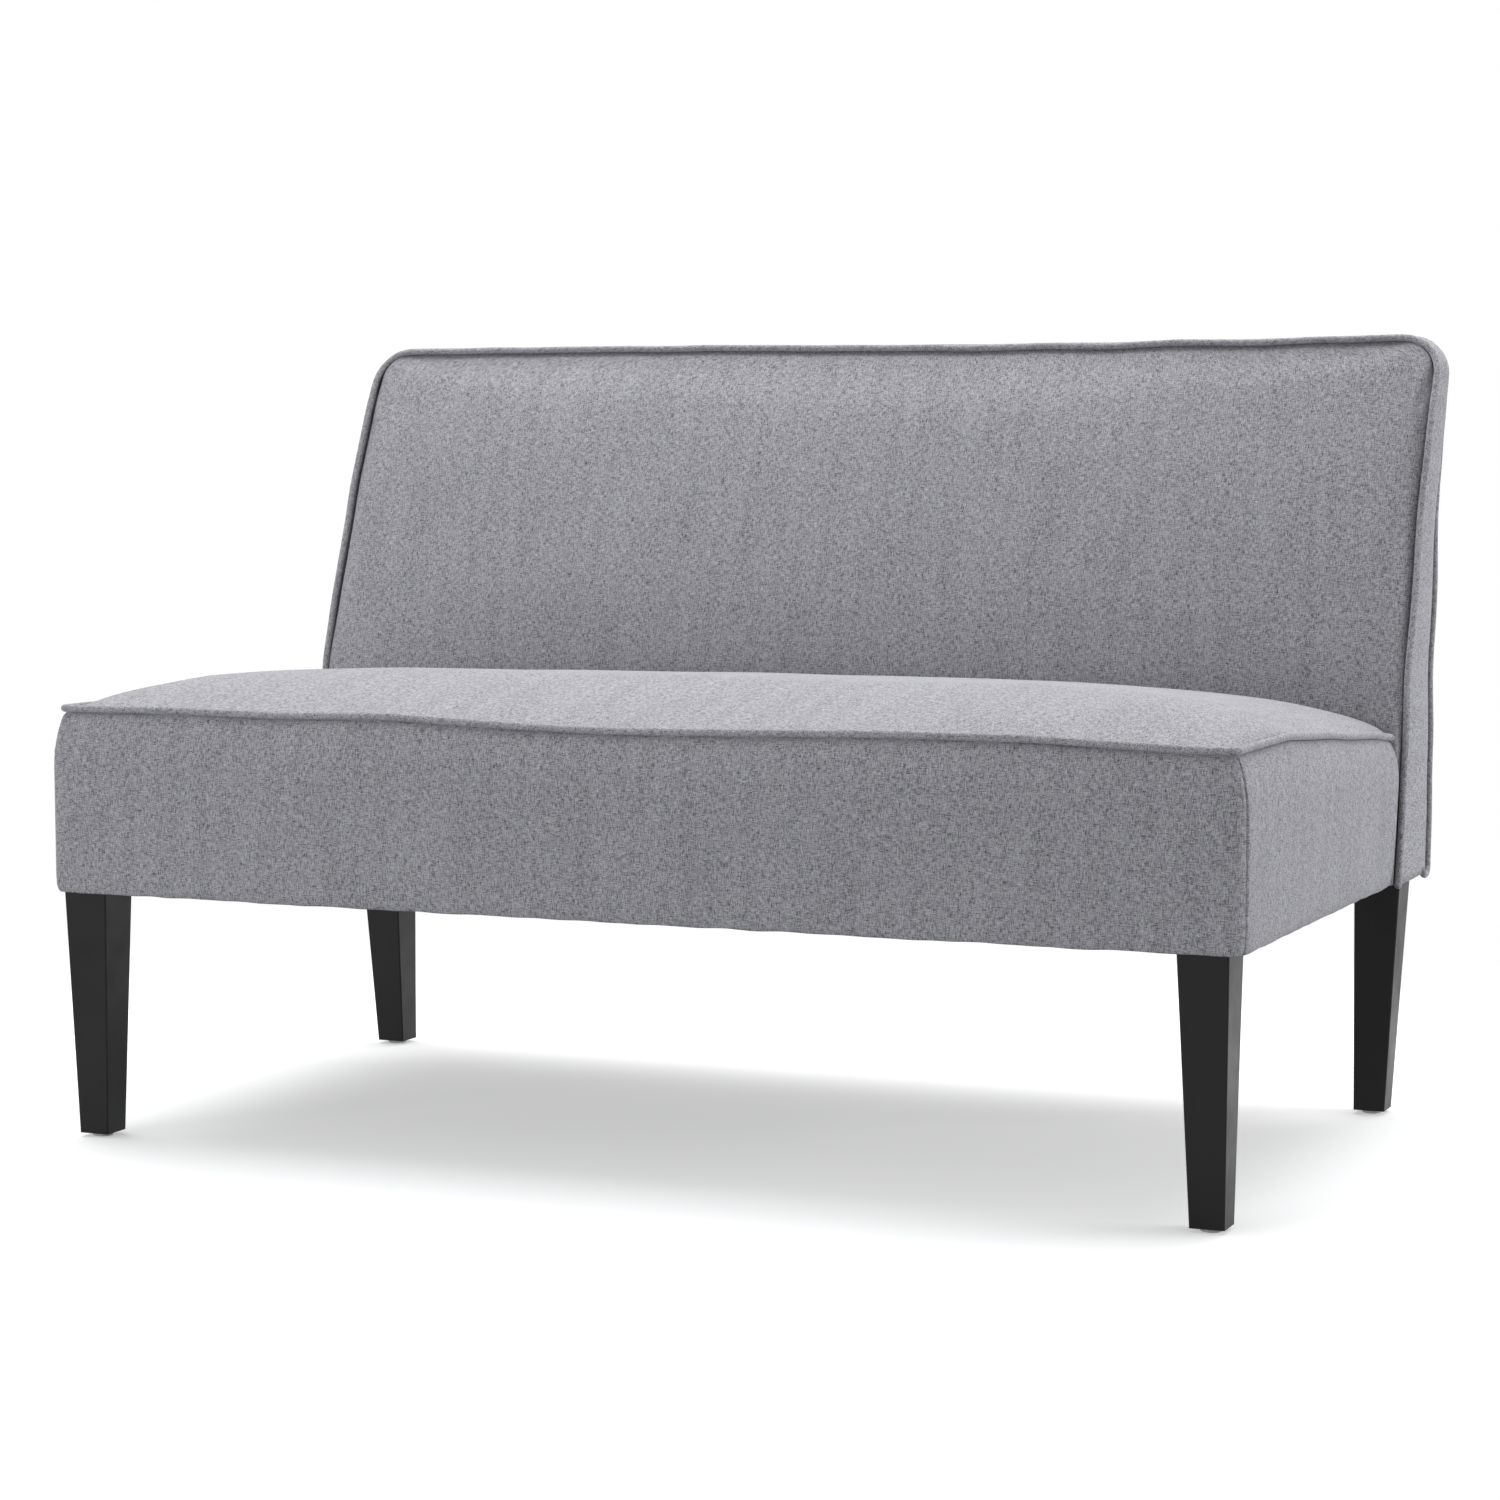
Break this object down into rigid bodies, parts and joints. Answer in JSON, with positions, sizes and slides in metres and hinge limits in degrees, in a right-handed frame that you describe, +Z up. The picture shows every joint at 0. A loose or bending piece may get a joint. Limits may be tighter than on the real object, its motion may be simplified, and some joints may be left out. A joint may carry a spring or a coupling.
{
  "type": "armless settee",
  "caption": "Armless upholstered settee with a crowned tight seat, raked tight back, self-welted seams and square tapered legs.",
  "frame": {"origin": "on the floor under the middle of the settee's overall width and depth", "axes": "+X to the settee's left-to-right width as seen from the front, +Y from the front to the back, +Z up"},
  "size_m": [1.225, 0.734, 0.792],
  "materials": {
    "grey_upholstery": "heathered plain weave, matt",
    "leg_lacquer": "black satin lacquer",
    "glide_plastic": "matt",
    "frame_wood": "sawn, unfinished",
    "lining_board": "hardboard",
    "foam": "open-cell foam",
    "wadding": "loose fibre",
    "felt": "needled felt",
    "webbing": "woven jute",
    "black_lining": "non-woven, matt",
    "zinc_steel": "zinc plated"
  },
  "bodies": {
    "root": {"front_left_leg": "leg_lacquer", "front_right_leg": "leg_lacquer", "rear_left_leg": "leg_lacquer", "rear_right_leg": "leg_lacquer", "front_left_glide": "glide_plastic", "front_right_glide": "glide_plastic", "rear_left_glide": "glide_plastic", "rear_right_glide": "glide_plastic", "hanger_bolts": "zinc_steel", "leg_plates": "zinc_steel", "seat_front_rail": "frame_wood", "seat_rear_rail": "frame_wood", "seat_left_rail": "frame_wood", "seat_right_rail": "frame_wood", "seat_centre_brace": "frame_wood", "seat_corner_blocks": "frame_wood", "seat_springs": "zinc_steel", "spring_clips": "zinc_steel", "spring_insulator": "felt", "seat_foam": "foam", "seat_wadding": "wadding", "seat_top_cover": "grey_upholstery", "seat_front_boxing": "grey_upholstery", "seat_left_boxing": "grey_upholstery", "seat_right_boxing": "grey_upholstery", "seat_welt": "grey_upholstery", "seat_rear_lining": "black_lining", "seat_dust_cover": "black_lining", "back_left_post": "frame_wood", "back_right_post": "frame_wood", "back_centre_post": "frame_wood", "back_top_rail": "frame_wood", "back_middle_rail": "frame_wood", "back_front_sill": "frame_wood", "back_rear_sill": "frame_wood", "back_leg_blocks": "frame_wood", "back_webbing": "webbing", "back_foam": "foam", "inside_back_cover": "grey_upholstery", "back_boxing": "grey_upholstery", "back_front_welt": "grey_upholstery", "back_rear_welt": "grey_upholstery", "outside_back_board": "lining_board", "outside_back_cover": "grey_upholstery", "back_dust_cover": "black_lining", "joint_bolts": "zinc_steel", "joint_washers": "zinc_steel", "joint_nuts": "zinc_steel"}
  },
  "joints": []
}
